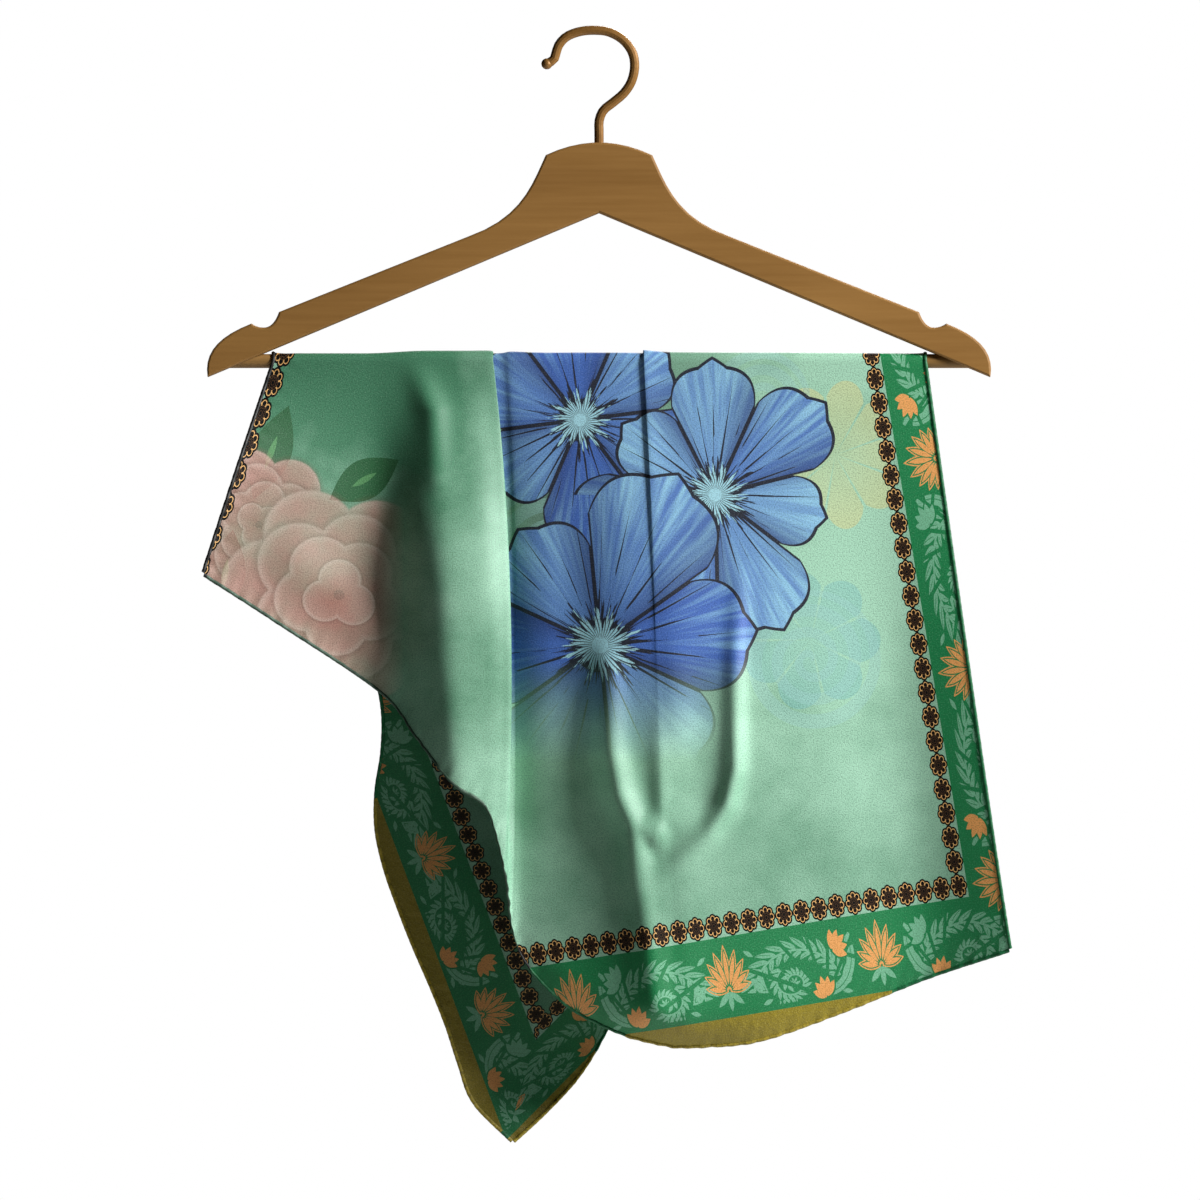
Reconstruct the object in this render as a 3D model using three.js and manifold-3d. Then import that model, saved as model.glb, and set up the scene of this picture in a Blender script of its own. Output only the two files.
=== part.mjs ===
// A silk square scarf laid over the trouser bar of a flat wooden clothes hanger.
// Millimetres, +Z up, +X to the right seen from the front, -Y towards the viewer.
// The origin is on the inside of the hook, straight above its stem, where a rail carries it.
import * as THREE from "three";
import { mergeVertices } from "three/addons/utils/BufferGeometryUtils.js";
import Module from "manifold-3d";

const wasm = await Module();
wasm.setup();

// Driving dimensions of the hanger
const GAP = 0.3;
const HANGER = {
  halfWidth: 222,
  thickness: 13,
  edgeBevel: 1.2,
  crownZ: -61,
  shoulderX: 30.2,
  shoulderZ: -68.2,
  armX: 74,
  armZ: -114.3,
  apexZ: -100.9,
  tipZ: -193.9,
};
const NOTCH = { innerX: 181.5, innerZ: -157.2, lowX: 190, lowZ: -166, outerX: 197, outerZ: -163.7 };
const BAR = { radius: 4, z: -184.9, halfLength: 214 };
const HOOK = { wireRadius: 2.65, ballRadius: 3.2, stemDepth: 22 };

// The hook's centre line: one row for each place it is bent through, from the ball to the stem
const HOOK_LINE = [
  { name: "ball", x: -29.6, z: -16.2 },
  { name: "lip", x: -25.6, z: -13.6 },
  { name: "loop start", x: -24.4, z: -10 },
  { name: "loop left", x: -22.9, z: -5.6 },
  { name: "upper left", x: -18.6, z: -0.9 },
  { name: "left of top", x: -11, z: 2.1 },
  { name: "top", x: -2.8, z: 2.9 },
  { name: "right of top", x: 5.6, z: 1.9 },
  { name: "upper right", x: 14, z: -2.9 },
  { name: "loop right", x: 19, z: -10 },
  { name: "loop widest", x: 20.2, z: -17.8 },
  { name: "lower right", x: 18.4, z: -26.2 },
  { name: "leaving", x: 14.2, z: -32.7 },
  { name: "slant", x: 8, z: -38.1 },
  { name: "bend", x: 2.4, z: -42.7 },
  { name: "stem top", x: 0.1, z: -48.3 },
  { name: "stem", x: 0, z: -55 },
];

// Driving dimensions of the cloth
const CLOTH = { wall: 1, layerPitch: 1.45, frontRows: 20, backRows: 19, rowCrowding: 1.25, arcRows: 4 };
const HEM = { halfWidth: 1.1, halfThickness: 0.75, lift: 0.25, gap: 0.45, sides: 6 };

// One row for each lengthwise line of the cloth, from its left edge to its right edge.
// bar: x where the line crosses the bar; layer: how many cloths lie under it there.
// x, z: where it ends at the hem; ease: how fast it swings from bar to hem (1 is straight);
// mid, out: how far it stands off the bar's face half way down and at the hem; bow: sideways bow.
const LINES = [
  {
    name: "left edge",
    bar: -183.9,
    layer: 0,
    front: { x: -222.6, z: -305.5, ease: 1, mid: 21, out: 33, bow: 0 },
    back: { x: -49, z: -628, ease: 1, mid: 9, out: 10, bow: -24 },
  },
  {
    name: "flap outer",
    bar: -156,
    layer: 0,
    front: { x: -183, z: -331.3, ease: 1, mid: 13, out: 23, bow: 0 },
    back: { x: -32, z: -612.5, ease: 1, mid: 11, out: 14, bow: -17 },
  },
  {
    name: "flap valley",
    bar: -128,
    layer: 0.1,
    front: { x: -124, z: -371.5, ease: 1, mid: 7, out: 9, bow: 2 },
    back: { x: -15, z: -595, ease: 1, mid: 15, out: 22, bow: -9 },
  },
  {
    name: "flap rise",
    bar: -104,
    layer: 1.8,
    front: { x: -103, z: -397.5, ease: 1, mid: 20, out: 17, bow: 4 },
    back: { x: -4, z: -580, ease: 1, mid: 21, out: 29, bow: -3 },
  },
  {
    name: "flap slope",
    bar: -88,
    layer: 2,
    front: { x: -83, z: -422.5, ease: 1, mid: 27, out: 25, bow: 5 },
    back: { x: 3, z: -568, ease: 1.05, mid: 25, out: 34, bow: -1 },
  },
  {
    name: "flap shoulder",
    bar: -74,
    layer: 2,
    front: { x: -64.5, z: -435.5, ease: 1, mid: 29, out: 28, bow: 6 },
    back: { x: 8, z: -559, ease: 1.1, mid: 27, out: 37, bow: 0 },
  },
  {
    name: "ridge start",
    bar: -63.5,
    layer: 2.1,
    front: { x: -57, z: -456, ease: 1, mid: 27, out: 27, bow: 6.5 },
    back: { x: 12, z: -552, ease: 1.2, mid: 28.5, out: 38, bow: 0 },
  },
  {
    name: "ridge",
    bar: -60,
    layer: 1.55,
    front: { x: -53.6, z: -471.5, ease: 1, mid: 24.5, out: 25, bow: 7 },
    back: { x: 15, z: -547, ease: 1.2, mid: 25.5, out: 37.5, bow: 0 },
  },
  {
    name: "turn under",
    bar: -63.5,
    layer: 1,
    front: { x: -52.7, z: -476, ease: 1.3, mid: 20.5, out: 22.5, bow: 5.5 },
    back: { x: 18, z: -543, ease: 1.2, mid: 21, out: 35.5, bow: 0 },
  },
  {
    name: "middle layer",
    bar: -78,
    layer: 1,
    front: { x: -52, z: -481, ease: 1.3, mid: 16, out: 20.5, bow: 4.5 },
    back: { x: 23, z: -536, ease: 1.2, mid: 17.5, out: 30.5, bow: 0 },
  },
  {
    name: "inner turn start",
    bar: -92.5,
    layer: 1,
    front: { x: -51.6, z: -485, ease: 1.3, mid: 12, out: 18.5, bow: 4 },
    back: { x: 28, z: -530, ease: 1.2, mid: 15, out: 25, bow: 0 },
  },
  {
    name: "inner turn",
    bar: -96,
    layer: 0.5,
    front: { x: -51.3, z: -488, ease: 1.3, mid: 9.5, out: 17.3, bow: 4 },
    back: { x: 31, z: -527, ease: 1.2, mid: 12, out: 21.5, bow: 0 },
  },
  {
    name: "underlay start",
    bar: -92.5,
    layer: 0,
    front: { x: -51.1, z: -491, ease: 1.3, mid: 7, out: 16.2, bow: 4 },
    back: { x: 34, z: -524, ease: 1.2, mid: 10, out: 18, bow: 0 },
  },
  {
    name: "underlay",
    bar: -76,
    layer: 0,
    front: { x: -50.7, z: -495, ease: 1.3, mid: 5, out: 15, bow: 4 },
    back: { x: 39, z: -519, ease: 1.2, mid: 7, out: 13.5, bow: 0 },
  },
  {
    name: "pleat floor",
    bar: -57,
    layer: 0,
    front: { x: -50, z: -501, ease: 1.3, mid: 4, out: 13.5, bow: 4 },
    back: { x: 46, z: -512, ease: 1.2, mid: 5, out: 9, bow: 0 },
  },
  {
    name: "second ridge",
    bar: -50,
    layer: 1.3,
    front: { x: -48.4, z: -508.5, ease: 1.3, mid: 4.5, out: 12.5, bow: 3 },
    back: { x: 53, z: -505, ease: 1.2, mid: 8, out: 9, bow: 0 },
  },
  {
    name: "right of ridge",
    bar: -39,
    layer: 0.8,
    front: { x: -43.5, z: -521.5, ease: 1.3, mid: 6, out: 12, bow: 1 },
    back: { x: 60, z: -498.5, ease: 1.2, mid: 12, out: 15, bow: 0 },
  },
  {
    name: "beside ridge",
    bar: -28,
    layer: 0.5,
    front: { x: -32.5, z: -536, ease: 1.2, mid: 8, out: 14, bow: 0 },
    back: { x: 68, z: -491.5, ease: 1.1, mid: 16, out: 24, bow: 0 },
  },
  {
    name: "hollow",
    bar: -12,
    layer: 0.6,
    front: { x: -14, z: -552.2, ease: 1, mid: 11, out: 18, bow: 0 },
    back: { x: 77, z: -484, ease: 1, mid: 18, out: 31, bow: 0 },
  },
  {
    name: "before crease",
    bar: 12,
    layer: 0.5,
    front: { x: 14, z: -565.7, ease: 1, mid: 18, out: 22, bow: 0 },
    back: { x: 86, z: -477.5, ease: 1, mid: 15, out: 29, bow: 0 },
  },
  {
    name: "crease foot",
    bar: 26.2,
    layer: 0.4,
    front: { x: 35, z: -571.3, ease: 1, mid: 21.5, out: 25, bow: 0 },
    back: { x: 94, z: -471, ease: 1, mid: 11, out: 19, bow: 0 },
  },
  {
    name: "crease",
    bar: 25.6,
    layer: 2.4,
    front: { x: 43, z: -572.7, ease: 1.2, mid: 22.5, out: 25, bow: 0 },
    back: { x: 98, z: -468, ease: 1.2, mid: 9, out: 14, bow: 0 },
  },
  {
    name: "after crease",
    bar: 40,
    layer: 1,
    front: { x: 58, z: -572.5, ease: 1, mid: 22, out: 25, bow: 0 },
    back: { x: 104, z: -463, ease: 1, mid: 5.5, out: 9, bow: 0 },
  },
  {
    name: "belly",
    bar: 72,
    layer: 0.6,
    front: { x: 91, z: -569, ease: 1, mid: 18, out: 22, bow: 0 },
    back: { x: 114, z: -456, ease: 1, mid: 6.5, out: 12, bow: 0 },
  },
  {
    name: "right field",
    bar: 110,
    layer: 0.5,
    front: { x: 137, z: -553.2, ease: 1, mid: 13, out: 15, bow: 0 },
    back: { x: 125, z: -449, ease: 1, mid: 13, out: 26, bow: 0 },
  },
  {
    name: "right border",
    bar: 150,
    layer: 0.1,
    front: { x: 186, z: -533.6, ease: 1, mid: 9, out: 10, bow: 0 },
    back: { x: 135.5, z: -442, ease: 1, mid: 18, out: 32, bow: 0 },
  },
  {
    name: "right edge",
    bar: 184.2,
    layer: 0,
    front: { x: 231.6, z: -517.8, ease: 0.95, mid: 15, out: 22, bow: 0 },
    back: { x: 144, z: -436, ease: 1, mid: 12, out: 24, bow: 0 },
  },
];

// Soft folds within a fall: a ridge (height above 0) or trough along a line, fading to its ends.
const FRONT_FOLDS = [
  { name: "swag left limb", x0: 8, z0: -350, x1: 22, z1: -432, width: 13, height: 4.5 },
  { name: "swag hollow", x0: 44, z0: -350, x1: 47, z1: -430, width: 15, height: -4 },
  { name: "swag foot", x0: 30, z0: -448, x1: 66, z1: -450, width: 13, height: 3.5 },
  { name: "swag right limb", x0: 84, z0: -350, x1: 76, z1: -432, width: 13, height: 4.5 },
  { name: "flap top fold", x0: -98, z0: -186, x1: -86, z1: -235, width: 9, height: 2.5 },
  { name: "flap lower roll", x0: -170, z0: -300, x1: -110, z1: -355, width: 16, height: 3 },
];

// Smooth curve through evenly numbered values, one for each row of the table
function through(values, u) {
  const last = values.length - 1;
  const i = Math.min(Math.floor(u), last - 1);
  const f = u - i;
  const b = values[i];
  const c = values[i + 1];
  const a = i > 0 ? values[i - 1] : 2 * b - c;
  const d = i + 2 <= last ? values[i + 2] : 2 * c - b;
  return b + 0.5 * f * (c - a + f * (2 * a - 5 * b + 4 * c - d + f * (3 * (b - c) + d - a)));
}

// Stand-off at share t of a fall: starts square to the bar, passes mid half way, ends at out
function standOff(start, mid, out, t) {
  const first = t < 0.5;
  const f = first ? t * 2 : t * 2 - 1;
  const [p, q] = first ? [start, mid] : [mid, out];
  const slopes = [0, (out - start) / 2, out - mid];
  const [m, n] = first ? [slopes[0], slopes[1]] : [slopes[1], slopes[2]];
  const f2 = f * f;
  const f3 = f2 * f;
  return p * (2 * f3 - 3 * f2 + 1) + m * (f3 - 2 * f2 + f) + q * (3 * f2 - 2 * f3) + n * (f3 - f2);
}

function foldHeight(folds, x, z) {
  let sum = 0;
  for (const fold of folds) {
    const dx = fold.x1 - fold.x0;
    const dz = fold.z1 - fold.z0;
    const length = Math.hypot(dx, dz);
    const along = ((x - fold.x0) * dx + (z - fold.z0) * dz) / length;
    const across = ((x - fold.x0) * dz - (z - fold.z0) * dx) / length;
    const beyond = Math.max(0, -along, along - length);
    sum += fold.height * Math.exp(-(across * across + beyond * beyond) / (fold.width * fold.width));
  }
  return sum;
}

// The back's left edge hangs in behind the flap, swings out below it, and comes in at its corner.
// One value for each twentieth of the way down from the bar.
const LOW_BOW = [
  0, -0.04, -0.07, -0.11, -0.15, -0.18, -0.2, -0.2, -0.16, -0.04, 0.26, 0.68, 0.96, 1.04, 1, 0.92, 0.8, 0.71, 0.69, 0.62, 0,
];
const lowBow = (t) => through(LOW_BOW, t * (LOW_BOW.length - 1));
const midBow = (t) => 4 * t * (1 - t);
const layerOf = (u) => through(LINES.map((line) => line.layer), u) * CLOTH.layerPitch;
const clothRadius = (u) => BAR.radius + GAP + CLOTH.wall / 2 + Math.max(0, layerOf(u));

// A point of a fall at line number u, share t of the way from bar to hem
function fallPoint(side, u, t) {
  const of = (key) => through(LINES.map((line) => line[side][key]), u);
  const barX = through(LINES.map((line) => line.bar), u);
  const bow = side === "front" ? midBow(t) : lowBow(t);
  const swing = Math.pow(1 - t, of("ease"));
  const x = of("x") + (barX - of("x")) * swing + of("bow") * bow;
  const z = BAR.z + (of("z") - BAR.z) * t;
  const start = clothRadius(u);
  let off = standOff(start, start + of("mid"), start + of("out"), t);
  if (side === "front") off += foldHeight(FRONT_FOLDS, x, z) * Math.min(1, t * 8);
  return new THREE.Vector3(x, side === "front" ? -off : off, z);
}

// v runs from the front hem (-1) up to the bar (0), over it (0 to 1) and down to the back hem (2)
function clothPoint(u, v) {
  if (v < 0) return fallPoint("front", u, -v);
  if (v > 1) return fallPoint("back", u, v - 1);
  const radius = clothRadius(u);
  const x = through(LINES.map((line) => line.bar), u);
  const angle = Math.PI * v;
  return new THREE.Vector3(x, -radius * Math.cos(angle), BAR.z + radius * Math.sin(angle));
}

function clothNormal(u, v) {
  const step = 0.02;
  const last = LINES.length - 1;
  const u0 = Math.max(0, u - step);
  const u1 = Math.min(last, u + step);
  const v0 = Math.max(-1, v - step);
  const v1 = Math.min(2, v + step);
  const across = clothPoint(u1, v).sub(clothPoint(u0, v));
  const along = clothPoint(u, v1).sub(clothPoint(u, v0));
  return across.cross(along).normalize();
}

// A closed wall on a grid of the cloth: an outer skin, an inner skin and a rim
function clothWall(us, vs) {
  const positions = [];
  const half = CLOTH.wall / 2;
  for (const side of [half, -half])
    for (const u of us)
      for (const v of vs) {
        const p = clothPoint(u, v).addScaledVector(clothNormal(u, v), side);
        positions.push(p.x, p.y, p.z);
      }
  const rows = vs.length;
  const skin = us.length * rows;
  const at = (i, j, inner) => (inner ? skin : 0) + i * rows + j;
  const index = [];
  const quad = (a, b, c, d) => index.push(a, b, c, a, c, d);
  for (let i = 0; i + 1 < us.length; i++)
    for (let j = 0; j + 1 < rows; j++) {
      quad(at(i, j), at(i + 1, j), at(i + 1, j + 1), at(i, j + 1));
      quad(at(i, j, 1), at(i, j + 1, 1), at(i + 1, j + 1, 1), at(i + 1, j, 1));
    }
  const endU = us.length - 1;
  const endV = rows - 1;
  for (let i = 0; i < endU; i++) {
    quad(at(i, 0), at(i, 0, 1), at(i + 1, 0, 1), at(i + 1, 0));
    quad(at(i, endV), at(i + 1, endV), at(i + 1, endV, 1), at(i, endV, 1));
  }
  for (let j = 0; j < endV; j++) {
    quad(at(0, j), at(0, j + 1), at(0, j + 1, 1), at(0, j, 1));
    quad(at(endU, j), at(endU, j, 1), at(endU, j + 1, 1), at(endU, j + 1));
  }
  const geometry = new THREE.BufferGeometry();
  geometry.setAttribute("position", new THREE.Float32BufferAttribute(positions, 3));
  geometry.setIndex(index);
  return outwardFacing(geometry);
}

const spread = (from, to, count) => Array.from({ length: count + 1 }, (_, i) => from + ((to - from) * i) / count);

// Columns between neighbouring lines: one in the tight pleat, two or three in the open cloth
const PLEAT = { first: 6, last: 16 };
const SWAG = { first: 22, last: 24 };
const columnsAfter = (line) => {
  if (line >= PLEAT.first && line < PLEAT.last) return 1;
  return line >= SWAG.first && line < SWAG.last ? 3 : 2;
};
const COLUMNS = LINES.slice(1).flatMap((_, i) => spread(i, i + 1, columnsAfter(i)).slice(0, -1));
COLUMNS.push(LINES.length - 1);
const CREST_HALF_GAP = GAP / 2 / (Math.PI * (BAR.radius + CLOTH.wall));
// Rows lie closer near the bar, where the folds start
const down = (rows) => spread(0, 1, rows).map((f) => Math.pow(f, CLOTH.rowCrowding));
const frontDown = down(CLOTH.frontRows).map((t) => -t).reverse();
const backDown = down(CLOTH.backRows).map((t) => 1 + t);
const FRONT_ROWS = [...frontDown, ...spread(0, 0.5 - CREST_HALF_GAP, CLOTH.arcRows).slice(1)];
const BACK_ROWS = [...spread(0.5 + CREST_HALF_GAP, 1, CLOTH.arcRows), ...backDown.slice(1)];

// A rolled hem: an oval roll laid along an edge of the cloth, just clear of it.
// For each place f, edge(f) gives its line number and row, and inner(f) a point further in.
function rolledHem(places, edge, inner) {
  const positions = [];
  for (const f of places) {
    const normal = clothNormal(...edge(f));
    const rim = clothPoint(...edge(f));
    const outward = rim.clone().sub(clothPoint(...inner(f)));
    outward.addScaledVector(normal, -outward.dot(normal)).normalize();
    const centre = rim.addScaledVector(outward, HEM.gap + HEM.halfWidth).addScaledVector(normal, HEM.lift);
    for (let i = 0; i < HEM.sides; i++) {
      const angle = (2 * Math.PI * i) / HEM.sides;
      const p = centre.clone();
      p.addScaledVector(outward, HEM.halfWidth * Math.cos(angle));
      p.addScaledVector(normal, HEM.halfThickness * Math.sin(angle));
      positions.push(p.x, p.y, p.z);
    }
  }
  const index = [];
  const n = HEM.sides;
  for (let j = 0; j + 1 < places.length; j++)
    for (let i = 0; i < n; i++) {
      const [a, b] = [j * n + i, j * n + ((i + 1) % n)];
      index.push(a, b, b + n, a, b + n, a + n);
    }
  const lastRing = (places.length - 1) * n;
  for (let i = 1; i + 1 < n; i++) {
    index.push(0, i + 1, i);
    index.push(lastRing, lastRing + i, lastRing + i + 1);
  }
  const geometry = new THREE.BufferGeometry();
  geometry.setAttribute("position", new THREE.Float32BufferAttribute(positions, 3));
  geometry.setIndex(index);
  return outwardFacing(geometry);
}

function volumeOf(geometry) {
  const p = geometry.attributes.position;
  const [a, b, c] = [new THREE.Vector3(), new THREE.Vector3(), new THREE.Vector3()];
  let sum = 0;
  for (let i = 0; i < geometry.index.count; i += 3) {
    a.fromBufferAttribute(p, geometry.index.getX(i));
    b.fromBufferAttribute(p, geometry.index.getX(i + 1));
    c.fromBufferAttribute(p, geometry.index.getX(i + 2));
    sum += a.dot(b.cross(c)) / 6;
  }
  return sum;
}

function outwardFacing(geometry) {
  if (volumeOf(geometry) < 0) geometry.index.array.reverse();
  return geometry;
}

function endHem(v, inward) {
  return rolledHem(COLUMNS, (u) => [u, v], (u) => [u, v + inward]);
}

function sideHem(u, inward) {
  return rolledHem([...FRONT_ROWS, ...BACK_ROWS], (v) => [u, v], (v) => [u + inward, v]);
}

function solidOf(geometry) {
  const bare = geometry.clone();
  bare.deleteAttribute("normal");
  bare.deleteAttribute("uv");
  const merged = mergeVertices(bare, 1e-4);
  return new wasm.Manifold(
    new wasm.Mesh({
      numProp: 3,
      vertProperties: new Float32Array(merged.attributes.position.array),
      triVerts: new Uint32Array(merged.index.array),
    }),
  );
}

function geometryOf(solid) {
  const mesh = solid.getMesh();
  const geometry = new THREE.BufferGeometry();
  geometry.setAttribute("position", new THREE.Float32BufferAttribute(mesh.vertProperties, 3));
  geometry.setIndex(Array.from(mesh.triVerts));
  return geometry;
}

// The hanger's outline, drawn once round from the left tip to the right tip and back
function hangerOutline() {
  const h = HANGER;
  const n = NOTCH;
  const outline = new THREE.Shape();
  outline.moveTo(-h.halfWidth, h.tipZ);
  outline.bezierCurveTo(-h.halfWidth - 2, h.tipZ + 12.9, -n.outerX - 20, n.outerZ - 7.8, -n.outerX, n.outerZ);
  outline.bezierCurveTo(-n.outerX + 2.5, n.outerZ - 1.8, -n.lowX - 2, n.lowZ, -n.lowX, n.lowZ);
  outline.bezierCurveTo(-n.lowX + 4, n.lowZ, -n.innerX - 1.8, n.innerZ - 5.2, -n.innerX, n.innerZ);
  outline.lineTo(-h.armX, h.armZ);
  outline.bezierCurveTo(-h.armX + 30.5, h.armZ + 10.8, -h.shoulderX - 7.8, h.shoulderZ - 16.8, -h.shoulderX, h.shoulderZ);
  outline.quadraticCurveTo(0, 2 * h.crownZ - h.shoulderZ, h.shoulderX, h.shoulderZ);
  outline.bezierCurveTo(h.shoulderX + 7.8, h.shoulderZ - 16.8, h.armX - 30.5, h.armZ + 10.8, h.armX, h.armZ);
  outline.lineTo(n.innerX, n.innerZ);
  outline.bezierCurveTo(n.innerX + 1.8, n.innerZ - 5.2, n.lowX - 4, n.lowZ, n.lowX, n.lowZ);
  outline.bezierCurveTo(n.lowX + 2, n.lowZ, n.outerX - 2.5, n.outerZ - 1.8, n.outerX, n.outerZ);
  outline.bezierCurveTo(n.outerX + 20, n.outerZ - 7.8, h.halfWidth + 2, h.tipZ + 12.9, h.halfWidth, h.tipZ);
  outline.lineTo(0, h.apexZ);
  outline.closePath();
  return outline;
}

// The body with a blind socket at each end for the bar, and one in its crown for the hook
function hangerBody() {
  const h = HANGER;
  const board = new THREE.ExtrudeGeometry(hangerOutline(), {
    depth: h.thickness - 2 * h.edgeBevel,
    curveSegments: 9,
    bevelEnabled: true,
    bevelSegments: 2,
    bevelThickness: h.edgeBevel,
    bevelSize: h.edgeBevel,
    bevelOffset: -h.edgeBevel,
  });
  board.rotateX(Math.PI / 2);
  board.translate(0, h.thickness / 2 - h.edgeBevel, 0);
  const socket = new THREE.CylinderGeometry(BAR.radius + GAP, BAR.radius + GAP, 2 * (BAR.halfLength + GAP), 24);
  socket.rotateZ(Math.PI / 2);
  socket.translate(0, 0, BAR.z);
  const boreDepth = HOOK.stemDepth + GAP;
  const bore = new THREE.CylinderGeometry(HOOK.wireRadius + GAP, HOOK.wireRadius + GAP, boreDepth + 2, 24);
  bore.rotateX(Math.PI / 2);
  bore.translate(0, 0, h.crownZ - boreDepth / 2 + 1);
  return geometryOf(solidOf(board).subtract(solidOf(socket)).subtract(solidOf(bore)));
}

function trouserBar() {
  const bar = new THREE.CylinderGeometry(BAR.radius, BAR.radius, 2 * BAR.halfLength, 24);
  bar.rotateZ(Math.PI / 2);
  bar.translate(0, 0, BAR.z);
  return bar;
}

// The hook: one bent wire with a small ball on its open end, its stem in the crown's bore
function hookWire() {
  const k = HOOK;
  const points = HOOK_LINE.map((row) => new THREE.Vector3(row.x, 0, row.z));
  points.push(new THREE.Vector3(0, 0, HANGER.crownZ));
  points.push(new THREE.Vector3(0, 0, HANGER.crownZ - k.stemDepth));
  const section = new THREE.Shape();
  section.absarc(0, 0, k.wireRadius, 0, 2 * Math.PI);
  const wire = new THREE.ExtrudeGeometry(section, {
    steps: 54,
    curveSegments: 6,
    extrudePath: new THREE.CatmullRomCurve3(points, false, "centripetal"),
    bevelEnabled: false,
  });
  const ball = new THREE.SphereGeometry(k.ballRadius, 14, 10);
  ball.translate(HOOK_LINE[0].x, 0, HOOK_LINE[0].z);
  return geometryOf(solidOf(wire).add(solidOf(ball)));
}

const wood = new THREE.MeshStandardMaterial({ color: 0x8a6234, roughness: 0.55, metalness: 0 });
const enamel = new THREE.MeshStandardMaterial({ color: 0x91683a, roughness: 0.45, metalness: 0.2 });
const silk = new THREE.MeshStandardMaterial({ color: 0x8fc4a4, roughness: 0.4, metalness: 0 });
const hemSilk = new THREE.MeshStandardMaterial({ color: 0x1f7a4a, roughness: 0.5, metalness: 0 });

const PIECES = {
  hanger_body: [hangerBody(), wood],
  trouser_bar: [trouserBar(), wood],
  hook: [hookWire(), enamel],
  scarf_front: [clothWall(COLUMNS, FRONT_ROWS), silk],
  scarf_back: [clothWall(COLUMNS, BACK_ROWS), silk],
  hem_front: [endHem(-1, 0.02), hemSilk],
  hem_back: [endHem(2, -0.02), hemSilk],
  hem_left: [sideHem(0, 0.1), hemSilk],
  hem_right: [sideHem(LINES.length - 1, -0.1), hemSilk],
};

const scarfOnHanger = new THREE.Group();
for (const [name, [geometry, material]] of Object.entries(PIECES)) {
  const mesh = new THREE.Mesh(geometry, material);
  mesh.name = name;
  scarfOnHanger.add(mesh);
}

export default scarfOnHanger;
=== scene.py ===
"""A silk square scarf laid over the trouser bar of a flat wooden clothes hanger."""

import bpy
import numpy as np
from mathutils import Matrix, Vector


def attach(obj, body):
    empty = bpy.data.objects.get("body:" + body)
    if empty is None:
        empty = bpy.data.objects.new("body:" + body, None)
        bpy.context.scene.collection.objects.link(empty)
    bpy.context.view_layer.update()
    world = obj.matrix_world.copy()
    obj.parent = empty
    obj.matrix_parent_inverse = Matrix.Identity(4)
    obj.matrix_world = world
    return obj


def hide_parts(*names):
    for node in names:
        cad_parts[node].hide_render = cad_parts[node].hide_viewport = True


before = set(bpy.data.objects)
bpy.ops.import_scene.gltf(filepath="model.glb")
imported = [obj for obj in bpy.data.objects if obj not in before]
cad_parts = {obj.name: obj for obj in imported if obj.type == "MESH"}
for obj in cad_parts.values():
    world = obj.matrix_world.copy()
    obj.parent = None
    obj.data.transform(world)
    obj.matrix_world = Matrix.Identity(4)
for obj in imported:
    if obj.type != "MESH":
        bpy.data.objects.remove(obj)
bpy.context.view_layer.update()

MM = 0.001

# Driving dimensions in millimetres, as the solids have them
BAR_RADIUS = 4.0
BAR_Z = -184.9
GAP = 0.3
SILK_HALF = 0.15
LAYER_PITCH = 0.75
HEM_HALF_WIDTH = 1.1
HEM_HALF_THICKNESS = 0.75
GRID_PITCH = 1.85
HEM_CURL, CURL_LINE, CURL_SPREAD, CURL_FROM = 13.0, 21, 3.2, 0.94
STITCH_PITCH, STITCH_HALF_LENGTH, STITCH_PINCH = 4.2, 0.7, 0.1
HEM_STEP, HEM_SIDES = 1.0, 8
PUCKER_HEIGHT, PUCKER_PITCH, PUCKER_REACH = 0.22, 8.5, 7.0

# The photograph's frame: millimetres per pixel, and the pixel of the origin
PHOTO_SIZE = 1200
PX = 0.5676
PX_X0, PX_Z0 = 599.0, 35.3

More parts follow.
